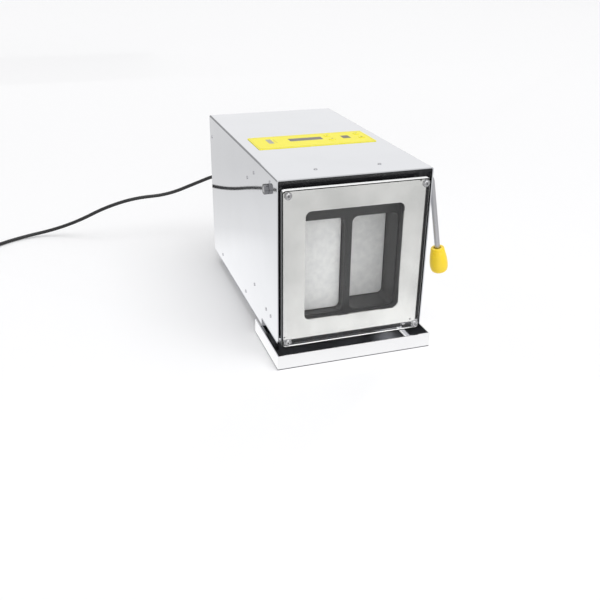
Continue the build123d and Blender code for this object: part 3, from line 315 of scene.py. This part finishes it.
MATERIALS["clear_pane"] = clear_pane_finish()
# the rim's tones are painted light: near white with a painted glow on the flat edges, grey painted shade on
# the upright ones
PANE_EDGE_PAINTED_HIGHLIGHT = pane_rim_painted_light("pane_edge_painted_highlight", (0.96, 0.965, 0.965), EDGE_GLOW)
PANE_SIDE_PAINTED_SHADE = pane_rim_painted_light("pane_side_painted_shade", (0.24, 0.25, 0.25))
# painted shade: the dark ring round the pane's front face
PANE_SHADE_RING = pane_rim_painted_light("pane_shade_ring", (0.10, 0.105, 0.11))


def dress(obj, *mats):
    obj.data.materials.clear()
    for mat in mats:
        obj.data.materials.append(mat)


for entry in frame["record"]["subparts"]:
    dress(frame["nodes"][entry["node"]], MATERIALS[entry["material_slot"]])
dress(frame["nodes"]["lever_rod"], LEVER_STEEL)
dress(frame["nodes"]["drip_tray"], TRAY_STEEL)
dress(frame["nodes"]["cover_screws"], SCREW_STEEL)
dress(frame["nodes"]["shaft_nut"], NUT_STEEL)
# the pieces inside the chamber take the black darkened as painted shade
for inside in ("chamber_frame", "chamber_rim", "paddle_sleeves", "sleeve_back"):
    dress(frame["nodes"][inside], CHAMBER_BLACK_SHADED)
dress(lead, MATERIALS["cord_black"])


# ------------------------------------------------------------------ added pieces
def add(name, mesh, body, slot, *mats):
    obj = bpy.data.objects.new(name, mesh)
    bpy.context.scene.collection.objects.link(obj)
    dress(obj, *(mats or (MATERIALS[slot],)))
    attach(obj, body)
    return obj


def mesh_from(name, build):
    bm = bmesh.new()
    build(bm)
    bmesh.ops.recalc_face_normals(bm, faces=bm.faces)
    mesh = bpy.data.meshes.new(name)
    bm.to_mesh(mesh)
    bm.free()
    return mesh


def prism(bm, outline, base, lift):
    # a flat outline given as points, raised along the vector lift
    low = [bm.verts.new(base + p) for p in outline]
    high = [bm.verts.new(base + p + lift) for p in outline]
    n = len(outline)
    bm.faces.new(high)
    bm.faces.new(low[::-1])
    for i in range(n):
        bm.faces.new((low[i], low[(i + 1) % n], high[(i + 1) % n], high[i]))


def round_rect(w, h, r, steps=5):
    pts = []
    for cx, cy, start in ((1, 1, 0), (-1, 1, 90), (-1, -1, 180), (1, -1, 270)):
        for i in range(steps + 1):
            a = math.radians(start + 90 * i / steps)
            pts.append(Vector((cx * (w / 2 - r) + r * math.cos(a), cy * (h / 2 - r) + r * math.sin(a), 0)))
    return pts


PLATE_GAP = 0.0003         # between the pane and the plate behind it
PANE_CORNER = 0.005
CORNER_STEPS = 8
SHADE_RING_W = 0.0013
SHADE_RING_T = 0.00006


def clear_door():
    # the pane as a piece of its own, so that its sawn edges can carry painted light: a painted highlight on
    # the flat upper and lower edges and painted shade on the upright ones; it has no bolt holes, because the
    # bolts fill them
    low, high = (Vector(corner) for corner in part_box("door_pane"))
    size = high - low
    outline = [Vector((p.x, 0, p.y)) for p in round_rect(size.x, size.z, PANE_CORNER, CORNER_STEPS)]
    base = Vector(((low.x + high.x) / 2, low.y, (low.z + high.z) / 2))
    lift = Vector((0, size.y - PLATE_GAP, 0))
    mesh = mesh_from("door_pane_clear", lambda bm: prism(bm, outline, base, lift))
    pane = add("door_pane_clear", mesh, "door", "clear_pane", MATERIALS["clear_pane"], PANE_EDGE_PAINTED_HIGHLIGHT, PANE_SIDE_PAINTED_SHADE)
    # flat rim faces take the painted highlight, upright rim faces the painted shade
    for face in mesh.polygons:
        is_rim = abs(face.normal.y) < 0.9
        if is_rim:
            lies_flat = abs(face.normal.z) > 0.7
            face.material_index = 1 if lies_flat else 2
    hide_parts("door_pane")

    def shade_ring(bm):
        # painted shade: a narrow dark ring flush with the pane's face, round its front edge
        inner = round_rect(size.x - 2 * SHADE_RING_W, size.z - 2 * SHADE_RING_W, PANE_CORNER - SHADE_RING_W, CORNER_STEPS)
        front = base - Vector((0, SHADE_RING_T, 0))
        outside = [bm.verts.new(front + p) for p in outline]
        inside = [bm.verts.new(front + Vector((p.x, 0, p.y))) for p in inner]
        for i in range(len(outside)):
            j = (i + 1) % len(outside)
            bm.faces.new((outside[i], outside[j], inside[j], inside[i]))
        ring = list(bm.faces)
        bmesh.ops.solidify(bm, geom=ring, thickness=SHADE_RING_T / 2)

    add("door_pane_shade_ring", mesh_from("door_pane_shade_ring", shade_ring), "door", "clear_pane", PANE_SHADE_RING)


def ink(name, color):
    return plastic(name, color, 0.4, 900, 0.03)


# marks on the film, as x0, x1, y0, y1 from the case's centre line and front edge
INK_T = 0.00006
DARK_BLOCK = (0.0505, 0.0630, 0.180, 0.1965)
GREY_BLOCK = (-0.067, -0.059, 0.179, 0.204)
BLOCK_CORNER = 0.0008
SCALE_X = (-0.0565, -0.0535)
SCALE_Y0, SCALE_PITCH, SCALE_LINE, SCALE_LINES, SCALE_CORNER = 0.1815, 0.0045, 0.0012, 5, 0.0003
BORDER = (-0.0885, 0.0911, 0.1536, 0.2177)
BORDER_W, BORDER_CORNER = 0.0004, 0.0001


def printed_film():
    # generic marks: a fine border, a level bar with its scale on the left and a dark window
    ink_dark = ink("ink_dark", (0.14, 0.125, 0.09))
    ink_grey = ink("ink_grey", (0.40, 0.39, 0.34))
    ink_line = ink("ink_line", (0.52, 0.45, 0.05))

    def block(bm, x0, x1, y0, y1, r=BLOCK_CORNER):
        base = AT + Vector(((x0 + x1) / 2, (y0 + y1) / 2, FILM_TOP))
        prism(bm, round_rect(x1 - x0, y1 - y0, r), base, Vector((0, 0, INK_T)))

    def ladder(bm):
        for i in range(SCALE_LINES):
            y = SCALE_Y0 + SCALE_PITCH * i
            block(bm, *SCALE_X, y, y + SCALE_LINE, SCALE_CORNER)

    def border(bm):
        x0, x1, y0, y1 = BORDER
        w = BORDER_W
        for side in ((x0, x1, y0, y0 + w), (x0, x1, y1 - w, y1),
                     (x0, x0 + w, y0 + w, y1 - w), (x1 - w, x1, y0 + w, y1 - w)):
            block(bm, *side, BORDER_CORNER)

    for name, build, finish in (("film_dark_block", lambda bm: block(bm, *DARK_BLOCK), ink_dark),
                                ("film_grey_block", lambda bm: block(bm, *GREY_BLOCK), ink_grey),
                                ("film_scale", ladder, ink_line),
                                ("film_border", border, ink_line)):
        add(name, mesh_from(name, build), "chassis", "display_dark", finish)


MARK_T = 0.00005


def key_marks():
    # up and down arrows, a start triangle and a stop square
    key_ink = ink("key_ink", (0.30, 0.25, 0.06))
    up = [(-0.0022, -0.0014), (0.0022, -0.0014), (0.0, 0.0022)]
    down = [(x, -y) for x, y in reversed(up)]
    start = [(-0.0014, -0.0022), (0.0022, 0.0), (-0.0014, 0.0022)]
    stop = [(-0.0017, -0.0017), (0.0017, -0.0017), (0.0017, 0.0017), (-0.0017, 0.0017)]
    for i, outline in enumerate((up, down, start, stop), 1):
        low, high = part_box("key_%d" % i)
        base = Vector(((low[0] + high[0]) / 2, (low[1] + high[1]) / 2, high[2]))
        flat = [Vector((x, y, 0)) for x, y in outline]
        mesh = mesh_from("key_mark_%d" % i, lambda bm: prism(bm, flat, base, Vector((0, 0, MARK_T))))
        add("key_mark_%d" % i, mesh, "key_%d" % i, "display_dark", key_ink)


WASHER_R = 0.0054
SOCKET_R = 0.0013
SOCKET_SEAT = 0.00002      # how deep the recess's dark face starts in the head
SOCKET_T = 0.00005


def screw_sockets():
    # six-sided driver recesses, shown as dark faces let into bright heads: painted shade for the inside of
    # each recess
    dark = metal("socket_painted_shade", (0.10, 0.10, 0.11), 0.45, ROUND, 500)
    hexagon = [(math.cos(math.radians(60 * i)), math.sin(math.radians(60 * i))) for i in range(6)]

    def door_heads(bm):
        low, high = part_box("door_screws")
        flat = [Vector((SOCKET_R * a, 0, SOCKET_R * b)) for a, b in hexagon]
        for x in (low[0] + WASHER_R, high[0] - WASHER_R):
            for z in (low[2] + WASHER_R, high[2] - WASHER_R):
                prism(bm, flat, Vector((x, low[1] + SOCKET_SEAT, z)), Vector((0, -SOCKET_T, 0)))

    add("door_screw_sockets", mesh_from("door_screw_sockets", door_heads), "door", "bright_screws", dark)


FOOT_SHADE_H, FOOT_SHADE_T = 0.0012, 0.00004


def tray_foot_shade_strip():
    # painted shade: a fine dark strip round the tray's foot, for the shade where its lower bend turns away
    # from the light
    low, high = (Vector(corner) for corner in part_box("drip_tray"))
    across, along = Vector((high.x - low.x, 0, 0)), Vector((0, high.y - low.y, 0))
    thick_x, thick_y = Vector((FOOT_SHADE_T, 0, 0)), Vector((0, FOOT_SHADE_T, 0))

    def strip(bm):
        for start, run, out in ((Vector((low.x, low.y - FOOT_SHADE_T, 0)), across, thick_y),
                                (Vector((low.x - FOOT_SHADE_T, low.y, 0)), along, thick_x),
                                (Vector((high.x, low.y, 0)), along, thick_x)):
            prism(bm, (Vector(), run, run + out, out), start, Vector((0, 0, FOOT_SHADE_H)))

    add("tray_foot_shade_strip", mesh_from("tray_foot_shade_strip", strip), "tray", "stainless_bright", TRAY_FOOT_SHADE)


RELIEF_WIDE, RELIEF_NARROW, RELIEF_L = 0.0075, 0.00385, 0.036     # the taper's end radii and length
RIBS, RIB_START, RIB_PITCH, RIB_SIDES = 6, 0.004, 0.0048, 24
RIB_PROFILE = ((-0.0004, 0.0), (0.0007, 0.0005), (0.0007, 0.0017), (-0.0004, 0.0022))   # out, along


def relief_ribs():
    # ribs round the connector's tapered strain relief
    low, high = (Vector(corner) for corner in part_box("mains_connector"))
    middle = Vector(((low.x + high.x) / 2, 0, (low.z + high.z) / 2))
    angles = [2 * math.pi * k / RIB_SIDES for k in range(RIB_SIDES)]

    def rings(bm):
        for i in range(RIBS):
            back = RIB_START + RIB_PITCH * i
            r = RELIEF_WIDE + (RELIEF_NARROW - RELIEF_WIDE) * back / RELIEF_L
            outline = [(r + out, high.y - RELIEF_L + back + along) for out, along in RIB_PROFILE]
            hoops = [[bm.verts.new(middle + Vector((rr * math.cos(a), y, rr * math.sin(a)))) for a in angles]
                     for rr, y in outline]
            for one, two in zip(hoops, hoops[1:] + hoops[:1]):
                for k in range(RIB_SIDES):
                    j = (k + 1) % RIB_SIDES
                    bm.faces.new((one[k], one[j], two[j], two[k]))

    add("relief_ribs", mesh_from("relief_ribs", rings), "chassis", "fitting_black")


clear_door()
printed_film()
key_marks()
screw_sockets()
tray_foot_shade_strip()
relief_ribs()
screws = frame["nodes"]["door_screws"]     # kept out of the plate's and the pane's own reflections
screws.visible_glossy = False
screws.visible_transmission = False


# ------------------------------------------------------------------ floor, light and background
def calculate(tree, kind, operation, first, second=None):
    # a Math or Vector Math node; its second input is a socket, a plain value or nothing
    node = tree.nodes.new(kind)
    node.operation = operation
    tree.links.new(first, node.inputs[0])
    if isinstance(second, bpy.types.NodeSocket):
        tree.links.new(second, node.inputs[1])
    elif second is not None:
        node.inputs[1].default_value = second
    return node


def ray_mix(tree):
    # 1 for rays that see the background straight, in a reflection or through glass
    rays = tree.nodes.new("ShaderNodeLightPath").outputs
    seen = calculate(tree, "ShaderNodeMath", "MAXIMUM", rays["Is Camera Ray"], rays["Is Glossy Ray"])
    seen = calculate(tree, "ShaderNodeMath", "MAXIMUM", seen.outputs[0], rays["Is Transmission Ray"])
    return seen.outputs[0]


SKY_LIGHT = 0.62
FLOOR_HALF = 20.0
FLOOR_DROP = 0.0002        # below the feet's faces, so that the two don't coincide
FLOOR_LIFT = 0.10
BAND_GREY = 0.36
WHITE = (1, 1, 1, 1)
SQUARE = ((-1, -1), (1, -1), (1, 1), (-1, 1))


def make_world():
    world = bpy.data.worlds.new("studio")
    world.use_nodes = True
    tree = world.node_tree
    lit = tree.nodes["Background"]
    lit.inputs["Strength"].default_value = SKY_LIGHT
    lit.inputs["Color"].default_value = WHITE
    seen = tree.nodes.new("ShaderNodeBackground")
    seen.inputs["Color"].default_value = WHITE
    mix = tree.nodes.new("ShaderNodeMixShader")
    tree.links.new(ray_mix(tree), mix.inputs["Fac"])
    tree.links.new(lit.outputs[0], mix.inputs[1])
    tree.links.new(seen.outputs[0], mix.inputs[2])
    tree.links.new(mix.outputs[0], tree.nodes["World Output"].inputs["Surface"])
    bpy.context.scene.world = world


def make_floor():
    mesh = mesh_from("floor", lambda bm: bm.faces.new(
        [bm.verts.new((x * FLOOR_HALF, y * FLOOR_HALF, -FLOOR_DROP)) for x, y in SQUARE]))
    floor = bpy.data.objects.new("floor", mesh)
    bpy.context.scene.collection.objects.link(floor)
    mat, tree, bsdf = new_material("floor", (0.88, 0.88, 0.89), Roughness=0.7, Emission_Color=WHITE)
    glow = calculate(tree, "ShaderNodeMath", "MULTIPLY", ray_mix(tree), FLOOR_LIFT)
    tree.links.new(glow.outputs[0], bsdf.inputs["Emission Strength"])
    dress(floor, mat)


def reflection_card(name, build, strength):
    # a studio card that reflections see, but not the camera, diffuse surfaces or shadows
    card = bpy.data.objects.new(name, mesh_from(name, build))
    bpy.context.scene.collection.objects.link(card)
    mat, tree, bsdf = new_material(name, (0.0, 0.0, 0.0), Roughness=1.0, Emission_Color=WHITE,
                                   Emission_Strength=strength)
    dress(card, mat)
    card.visible_camera = False
    card.visible_diffuse = False
    card.visible_shadow = False
    return card, tree, bsdf


def band_card(name, build):
    # a grey card, not seen through the pane: it draws the bends of bright metal
    card = reflection_card(name, build, BAND_GREY)[0]
    card.visible_transmission = False


BAND_FAR, BAND_LOW, BAND_HIGH, BAND_SIDES = 9.0, 0.15, 1.1, 48


def horizon_band(bm):
    angles = [2 * math.pi * i / BAND_SIDES for i in range(BAND_SIDES)]
    rim = [(BAND_FAR * math.cos(a), BAND_FAR * math.sin(a)) for a in angles]
    feet = [bm.verts.new((x, y, BAND_LOW)) for x, y in rim]
    tops = [bm.verts.new((x, y, BAND_HIGH)) for x, y in rim]
    for i in range(BAND_SIDES):
        j = (i + 1) % BAND_SIDES
        bm.faces.new((feet[i], feet[j], tops[j], tops[i]))


def rear_card(bm):
    # behind and to the left: the bend along the case's top left edge shows it
    left, right, top, back = -2.2, 0.15, 1.5, 3.0
    bm.faces.new([bm.verts.new((x, back, z)) for x, z in ((left, 0), (right, 0), (right, top), (left, top))])


TONE_REACH = 2.0           # m from the case's foot to the rim of the reflected floor
TONE_LIFT = 0.0001         # above the level that the feet stand on
TONE_NEAR = 1.16           # a little over white, in reflections only
TONES = ((0.0, 1.0), (0.08, 0.74), (0.35, 0.55), (1.0, 0.75))     # share of the reach, share of TONE_NEAR


def tone_ramp(tree, fac):
    ramp = tree.nodes.new("ShaderNodeValToRGB")
    ramp.color_ramp.interpolation = "B_SPLINE"
    stops = ramp.color_ramp.elements
    while len(stops) < len(TONES):
        stops.new(0.5)
    for stop, (position, tone) in zip(stops, TONES):
        stop.position = position
        stop.color = (tone, tone, tone, 1)
    tree.links.new(fac, ramp.inputs["Fac"])
    return ramp.outputs["Color"]


def floor_tone():
    # what upright metal shows of the floor: bright at the case's foot, greyer further out
    half = (case_high - case_low) / 2
    reach = TONE_REACH + half.y

    def ring(bm):
        # open under the case, where the floor lies in shadow
        rim = [bm.verts.new((x * reach, y * reach, 0)) for x, y in SQUARE]
        foot = [bm.verts.new((x * half.x, y * half.y, 0)) for x, y in SQUARE]
        for i in range(4):
            j = (i + 1) % 4
            bm.faces.new((rim[i], rim[j], foot[j], foot[i]))

    # unlike a band card it is seen through the pane too, because the plate lies behind the pane
    card, tree, bsdf = reflection_card("floor_tone", ring, TONE_NEAR)
    card.location = Vector((AT.x, AT.y + half.y, TONE_LIFT))
    place = tree.nodes.new("ShaderNodeTexCoord").outputs["Object"]
    for operation, other in (("ABSOLUTE", None), ("SUBTRACT", (half.x, half.y, 0)), ("MAXIMUM", (0, 0, 0))):
        place = calculate(tree, "ShaderNodeVectorMath", operation, place, other).outputs["Vector"]
    away = calculate(tree, "ShaderNodeVectorMath", "LENGTH", place).outputs["Value"]
    share = calculate(tree, "ShaderNodeMath", "DIVIDE", away, TONE_REACH).outputs[0]
    tree.links.new(tone_ramp(tree, share), bsdf.inputs["Emission Color"])


LAMP_AIM = Vector((0, 0, 0.1))


def area_light(name, at, size, power):
    data = bpy.data.lights.new(name, "AREA")
    data.shape = "SQUARE"
    data.size = size
    data.energy = power
    lamp = bpy.data.objects.new(name, data)
    lamp.location = at
    lamp.rotation_euler = (LAMP_AIM - Vector(at)).to_track_quat("-Z", "Y").to_euler()
    bpy.context.scene.collection.objects.link(lamp)


def soft_sun(at, strength, spread):
    data = bpy.data.lights.new("soft_sun", "SUN")
    data.energy = strength
    data.angle = math.radians(spread)
    lamp = bpy.data.objects.new("soft_sun", data)
    lamp.rotation_euler = (-Vector(at)).to_track_quat("-Z", "Y").to_euler()
    bpy.context.scene.collection.objects.link(lamp)


make_world()
make_floor()
band_card("horizon_band", horizon_band)
band_card("rear_card", rear_card)
floor_tone()
soft_sun((0.5, -0.7, 1.9), strength=1.15, spread=50)
area_light("key_light", (1.6, -2.2, 2.6), size=2.4, power=8)
area_light("front_fill", (-0.5, -3.0, 0.9), size=1.6, power=11)
bpy.context.scene.view_settings.view_transform = "Standard"
